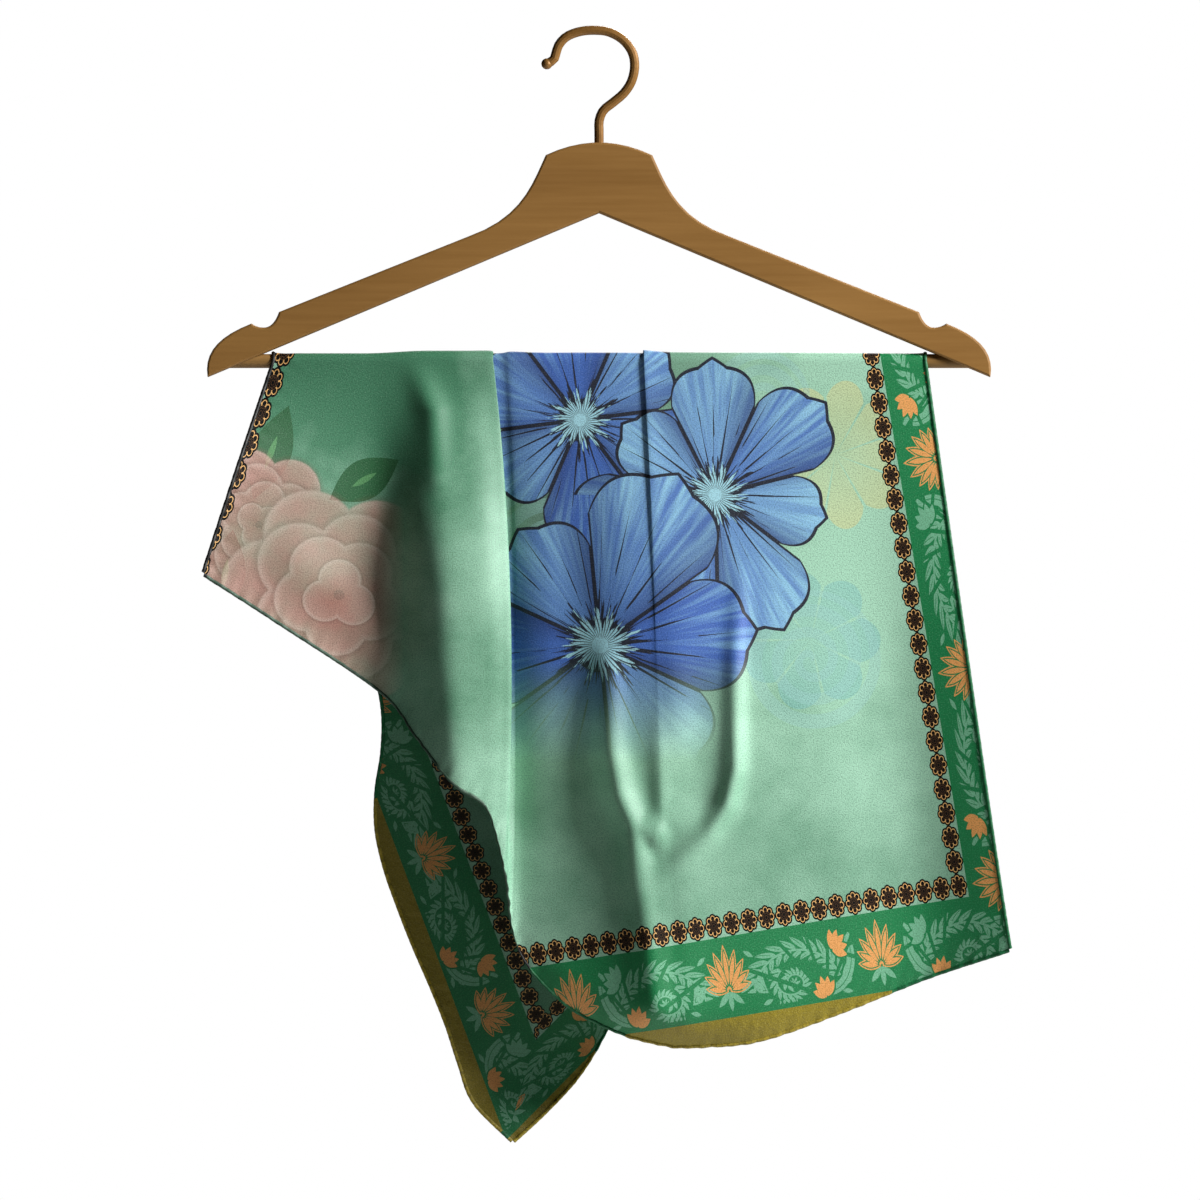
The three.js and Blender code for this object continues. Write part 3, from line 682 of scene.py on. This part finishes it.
def rose(picture, tree, x, y, x0, y0, radius, seed):
    """A soft full rose: rings of cupped petals, pale at their rims and deep pink between."""
    r, angle = polar((x - x0) / radius, (y - y0) / radius)
    wobble = 0.05 * calc("SINE", angle * 2 + seed)
    r = r + wobble * r
    for distance, petal_radius, petals, turn0 in ROSE_RINGS:
        turn = cell(angle - turn0 - seed, 2 * np.pi / petals)[0]
        away = hypot(r * calc("COSINE", turn) - distance, r * calc("SINE", turn)) / petal_radius
        inside = 1 - ramp(away, 0.97, 1.03)
        tone = clamp(0.1 + 0.9 * ramp(r, distance - 0.7 * petal_radius, distance + petal_radius))
        body = over(INK["rose"], tone, INK["pink"], tree)
        body = over(body, ramp(away, 0.8, 0.98) * 0.35, linear(240, 208, 198), tree)
        shadow = (1 - ramp(away, 1.0, 1.16)) * 0.4
        picture = over(picture, shadow, linear(120, 52, 56), tree)
        picture = over(picture, inside, body, tree)
    return over(picture, (r < 0.05) * 0.8, linear(150, 60, 64), tree)


def ghost(picture, tree, x, y, x0, y0, radius, petals, colour, amount):
    """A faint flower of flat petals, as if seen through the ground."""
    r, angle = polar(x - x0, y - y0)
    turn, _ = cell(angle, 2 * np.pi / petals)
    share = absolute(turn) / (np.pi / petals)
    edge = radius * (1 - 0.25 * share**2)
    mask = (r < edge) * (share < 0.93) * (0.5 + 0.5 * ramp(r, 0, radius))
    return over(picture, mask * amount, colour, tree)


# The ground and the small forms of the picture, in hundreds of photograph pixels
PAINTED_GROUND_SHADING = [
    # change of tone, then the stretches of x and y over which it comes in; each is painted shade
    # where it darkens and painted light where it lightens, following how the folds are lit, partly
    # the print's own tone
    (-0.16, 5.8, 6.8, 7.2, 8.2),
    (-0.2, 8.4, 9.2, 5.5, 7.5),
    (-0.25, 3.4, 2.0, 4.8, 3.5),
    (0.18, 6.2, 5.4, 6.8, 7.6),
]
# x, y, radius, pitch, way of winding
CURLS = [(5.5, 5.6, 0.75, 0.2, 1), (8.1, 6.6, 0.7, 0.22, -1), (7.6, 4.0, 0.5, 0.17, 1)]
# x, y, degrees, length
BLADES = [(2.55, 5.0, -70, 1.0), (2.35, 5.3, 100, 0.9), (3.3, 5.0, -30, 0.8)]


def silk_material():
    """Printed silk satin: the picture in the middle, the border round it, a fine speckle whose pale
    grains are partly painted glints, and painted shade in the ground and on the back fall.
    """
    material = bpy.data.materials.new("printed silk")
    material.use_nodes = True
    tree = material.node_tree
    shader = tree.nodes["Principled BSDF"]

    side_across, side_along = uv_place(tree, "side_border")
    hem_across, hem_along = uv_place(tree, "hem_border")
    use_hem = hem_across > side_across
    across = side_across + (hem_across - side_across) * use_hem
    along = side_along + (hem_along - side_along) * use_hem
    x, y = uv_place(tree, "picture")
    picture_uv = uv_vector(tree, "picture")

    cloud = noise(tree, picture_uv, 0.8, 4.0, 0.6)
    speckle = noise(tree, picture_uv, 75.0, 2.0, 0.7)
    # the ground's lightness: print clouds, paler to the right and darker above and below, with the
    # painted shading table; the paler right is partly painted light
    light = cloud + 0.09 * (x - 5.2) - 0.05 * absolute(y - 5.8)
    for change, x0, x1, y0, y1 in PAINTED_GROUND_SHADING:
        light = light + change * ramp(x, x0, x1) * ramp(y, y0, y1)
    picture = over(linear(68, 134, 98), ramp(light, 0.1, 0.7), linear(170, 220, 190), tree)
    picture = ghost(picture, tree, x, y, 8.35, 4.55, 0.75, 9, INK["straw"], 0.65)
    picture = ghost(picture, tree, x, y, 8.1, 6.4, 0.7, 7, linear(120, 190, 190), 0.45)
    from_flowers = hypot((x - 6.5) / 1.15, (y - 5.3) / 1.7)
    dark_ground = (1 - ramp(from_flowers, 0.7, 1.25)) * ramp(cloud, 0.3, 0.5)
    picture = over(picture, dark_ground, INK["indigo"], tree)
    for x0, y0, radius, pitch, way in CURLS:
        swirl = spiral(x, y, x0, y0, radius, pitch, way)
        picture = over(picture, swirl * 0.35, linear(160, 210, 205), tree)
    for x0, y0, degrees, length in BLADES:
        blade = leaf(x, y, x0 - PLEAT_HIDES, y0, degrees, length, 0.2)
        picture = over(picture, blade > 0, INK["leaf"], tree)
        picture = over(picture, (blade > 0) * (blade > 0.17), linear(86, 150, 92), tree)
    ground = picture
    picture = rose(picture, tree, x, y, 2.6 - PLEAT_HIDES, 5.25, 0.7, 1.0)
    picture = rose(picture, tree, x, y, 3.4 - PLEAT_HIDES, 5.95, 1.05, 4.0)
    fade = either(0.25 + 0.35 * ramp(cloud, 0.4, 0.7), ramp(x, 2.3, 2.75))
    picture = over(picture, fade, ground, tree)
    picture = blue_flower(picture, tree, x, y, 5.8, 4.2, 1.4, 6, 0.4)
    picture = blue_flower(picture, tree, x, y, 7.15, 4.95, 1.45, 7, 1.1, 0.25)
    picture = blue_flower(picture, tree, x, y, 6.0, 6.45, 1.8, 6, 2.0)
    # the picture melts into the ground low down
    picture = over(picture, ramp(y + 0.25 * (cloud - 0.5), 6.6, 7.6), ground, tree)

    colour = over(picture, across > 0, INK["mint"], tree)
    black, gold, ring = rosette(across, along)
    chain = absolute(across) < 0.53
    colour = over(colour, black * chain, INK["black"], tree)
    colour = over(colour, gold * chain, INK["gold"], tree)
    colour = over(colour, ring * chain, linear(88, 62, 40), tree)

    band = (across > BAND_INNER) * (across < BAND_OUTER)
    colour = over(colour, across > BAND_INNER, INK["green"], tree)
    from_lotus, lotus_number = cell(along, LOTUS_PERIOD)
    petal, calyx = palmette(across, from_lotus)
    from_scroll, scroll_number = cell(along - LOTUS_PERIOD / 2, LOTUS_PERIOD)
    mirrored = absolute(calc("MODULO", scroll_number, 2))
    pale, side, small = scroll(across, from_scroll * (1 - 2 * mirrored))
    colour = over(colour, band * either(pale, calyx, small * (1 - mirrored)), INK["pale"], tree)
    colour = over(colour, band * either(side, petal, small * mirrored), INK["orange"], tree)
    colour = over(colour, across > BAND_OUTER, INK["yellow"], tree)

    painted_back_shade, _ = uv_place(tree, "painted_back_shade")
    # painted shade on the back fall, darker down from the bar, for the shadow of the front fall
    colour = over(colour, painted_back_shade * BACK_SHADE_AMOUNT, linear(20, 30, 26), tree)
    colour = over(colour, ramp(speckle, 0.52, 0.38) * 0.36, linear(8, 20, 14), tree)
    # the black ink is matt: it takes less specular and none of the pale speckle, which is grain of
    # the weave and partly painted glint of the satin
    inked = black * chain * (1 - gold)
    colour = over(colour, ramp(speckle, 0.56, 0.66) * 0.07 * (1 - inked), linear(235, 245, 235), tree)
    tree.links.new(colour, shader.inputs["Base Color"])
    tree.links.new((0.36 + 0.4 * speckle).source, shader.inputs["Roughness"])
    tree.links.new((0.55 - 0.4 * inked).source, shader.inputs["Specular IOR Level"])
    bump = tree.nodes.new("ShaderNodeBump")
    bump.inputs["Strength"].default_value = 0.5
    bump.inputs["Distance"].default_value = 0.0003
    crinkle = noise(tree, picture_uv, 9.0, 3.0, 0.6) * (across > BAND_OUTER)
    tree.links.new((speckle + 5 * crinkle).source, bump.inputs["Height"])
    tree.links.new(bump.outputs[0], shader.inputs["Normal"])
    return material


def object_place(tree, *stretch):
    """Place on the object in metres, stretched along each axis."""
    node = tree.nodes.new("ShaderNodeTexCoord")
    scale = tree.nodes.new("ShaderNodeMapping")
    scale.inputs["Scale"].default_value = stretch
    tree.links.new(node.outputs["Object"], scale.inputs["Vector"])
    return scale.outputs[0]


def finish(name, dark, light, fine, coarse, roughness, bump_height, **more):
    """A two-tone surface: streaks or grains of the fine scale over patches of the coarse one."""
    material = bpy.data.materials.new(name)
    material.use_nodes = True
    tree = material.node_tree
    shader = tree.nodes["Principled BSDF"]
    grain = noise(tree, object_place(tree, *fine), 1.0, 4.0, 0.6)
    patch = noise(tree, object_place(tree, *coarse), 1.0, 2.0)
    tone = clamp(ramp(grain, 0.35, 0.68) * 0.35 + ramp(patch, 0.3, 0.7) * 0.65)
    tree.links.new(over(dark, tone, light, tree), shader.inputs["Base Color"])
    rough = roughness[0] + (roughness[1] - roughness[0]) * grain
    tree.links.new(rough.source, shader.inputs["Roughness"])
    bump = tree.nodes.new("ShaderNodeBump")
    bump.inputs["Strength"].default_value = 0.3
    bump.inputs["Distance"].default_value = bump_height * MM
    tree.links.new(grain.source, bump.inputs["Height"])
    tree.links.new(bump.outputs[0], shader.inputs["Normal"])
    for socket, value in more.items():
        shader.inputs[socket].default_value = value
    return material


def hem_material():
    """The rolled edge: the print's bands wrapped round it, darker as painted shade of the roll, with
    a twist of thread.
    """
    material = bpy.data.materials.new("rolled hem")
    material.use_nodes = True
    tree = material.node_tree
    shader = tree.nodes["Principled BSDF"]
    side_across, side_along = uv_place(tree, "side_border")
    hem_across, hem_along = uv_place(tree, "hem_border")
    across = either(side_across, hem_across)
    # the mint and the green darker than on the cloth: painted shade of the roll
    colour = over(linear(70, 100, 80), across > -0.5, linear(20, 18, 18), tree)
    colour = over(colour, across > BAND_INNER, linear(8, 112, 62), tree)
    colour = over(colour, across > BAND_OUTER, linear(176, 156, 48), tree)
    place = object_place(tree, 900, 900, 900)
    thread = noise(tree, place, 1.0, 2.0)
    stitch = absolute(cell(side_along + hem_along, 0.34)[0]) < 0.04
    colour = over(colour, ramp(thread, 0.35, 0.6) * 0.3, linear(6, 14, 8), tree)
    colour = over(colour, stitch * 0.3, linear(10, 26, 16), tree)
    tree.links.new(colour, shader.inputs["Base Color"])
    tree.links.new((0.45 + 0.2 * thread).source, shader.inputs["Roughness"])
    bump = tree.nodes.new("ShaderNodeBump")
    bump.inputs["Strength"].default_value = 0.4
    bump.inputs["Distance"].default_value = 0.2 * MM
    tree.links.new(thread.source, bump.inputs["Height"])
    tree.links.new(bump.outputs[0], shader.inputs["Normal"])
    return material


scarf, grid = make_scarf()
normal = normals_of(grid)
places = print_places(grid)
store_places(scarf, places)


def edge(side):
    """Rim, inner line, normals and print places of one edge of the cloth."""
    at = {
        "front": (np.s_[:, 0], np.s_[:, 3]), "back": (np.s_[:, -1], np.s_[:, -4]),
        "left": (np.s_[0], np.s_[3]), "right": (np.s_[-1], np.s_[-4]),
    }[side]
    rim_places = {key: value[at[0]] for key, value in places.items()}
    return grid[at[0]], grid[at[1]], normal[at[0]], rim_places


hems = [make_hem("rolled_hem_" + side, *edge(side)) for side in ("front", "back", "left", "right")]
scarf.data.materials.append(silk_material())
hem_silk = hem_material()
for hem, node in zip(hems, ("hem_front", "hem_back", "hem_left", "hem_right")):
    hem.data.materials.append(hem_silk)
    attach(hem, "root")
    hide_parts(node)
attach(scarf, "root")
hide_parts("scarf_front", "scarf_back")

# Wood with its grain along the hanger, a slightly darker bar, and an enamelled steel hook
WOOD_LIGHT, WOOD_DARK = linear(162, 119, 62), linear(138, 98, 47)
finishes = {
    "hanger_body": finish(
        "varnished wood", WOOD_DARK, WOOD_LIGHT, (14, 300, 340), (5, 30, 30), (0.42, 0.6), 0.15,
        **{"Specular IOR Level": 0.3},
    ),
    "trouser_bar": finish(
        "varnished wood bar", linear(132, 98, 51), linear(164, 125, 72), (16, 420, 420),
        (8, 60, 60), (0.42, 0.6), 0.15, **{"Specular IOR Level": 0.3},
    ),
    "hook": finish(
        "brown enamel", linear(130, 90, 40), linear(156, 112, 55), (500, 500, 500), (40, 40, 40),
        (0.34, 0.5), 0.05, **{"Metallic": 0.25},
    ),
}
for name, material in finishes.items():
    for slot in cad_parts[name].material_slots:
        slot.material = material

# Camera straight in front, far away, so that the photograph's frame is kept
camera_data = bpy.data.cameras.new("camera")
camera_data.lens = 300
camera = bpy.data.objects.new("camera", camera_data)
bpy.context.collection.objects.link(camera)
width = PHOTO_SIZE * PX * MM
distance = width * camera_data.lens / camera_data.sensor_width
camera.location = (
    (PHOTO_SIZE / 2 - PX_X0) * PX * MM, -distance, (PX_Z0 - PHOTO_SIZE / 2) * PX * MM
)
camera.rotation_euler = (np.pi / 2, 0, 0)
camera_data.clip_end = 50
bpy.context.scene.camera = camera


def area_light(name, place, target, size, power):
    data = bpy.data.lights.new(name, "AREA")
    data.size = size
    data.energy = power
    light = bpy.data.objects.new(name, data)
    light.location = place
    light.rotation_euler = (Vector(target) - Vector(place)).to_track_quat("-Z", "Y").to_euler()
    bpy.context.collection.objects.link(light)


area_light("key", (2.15, -0.95, 0.8), (0, 0, -0.35), 0.7, 120)
area_light("fill", (-1.8, -2.2, 0.3), (0, 0, -0.35), 1.4, 0.9)
area_light("back", (0.5, 1.9, 0.9), (0, 0, -0.35), 0.9, 30)

bpy.context.scene.view_settings.view_transform = "Standard"
world = bpy.data.worlds.new("studio")
bpy.context.scene.world = world
world.use_nodes = True
sky = world.node_tree
background = sky.nodes["Background"]
background.inputs["Color"].default_value = (1, 1, 1, 1)
ray = sky.nodes.new("ShaderNodeLightPath")
seen = Field(sky, ray.outputs["Is Camera Ray"])
sky.links.new((0.018 + 0.982 * seen).source, background.inputs["Strength"])

FLOOR_Z, FLOOR_HALF = -1350.0, 1500
floor = mesh_object(
    "floor",
    np.array([
        (i * FLOOR_HALF, j * FLOOR_HALF, FLOOR_Z) for i, j in ((-1, -1), (1, -1), (1, 1), (-1, 1))
    ]),
    np.array([(0, 1, 2, 3)]),
)
floor.data.materials.append(finish(
    "pale floor", (0.8, 0.8, 0.79), (0.88, 0.88, 0.87), (90, 90, 90), (2, 2, 2), (0.7, 0.9), 0.3
))
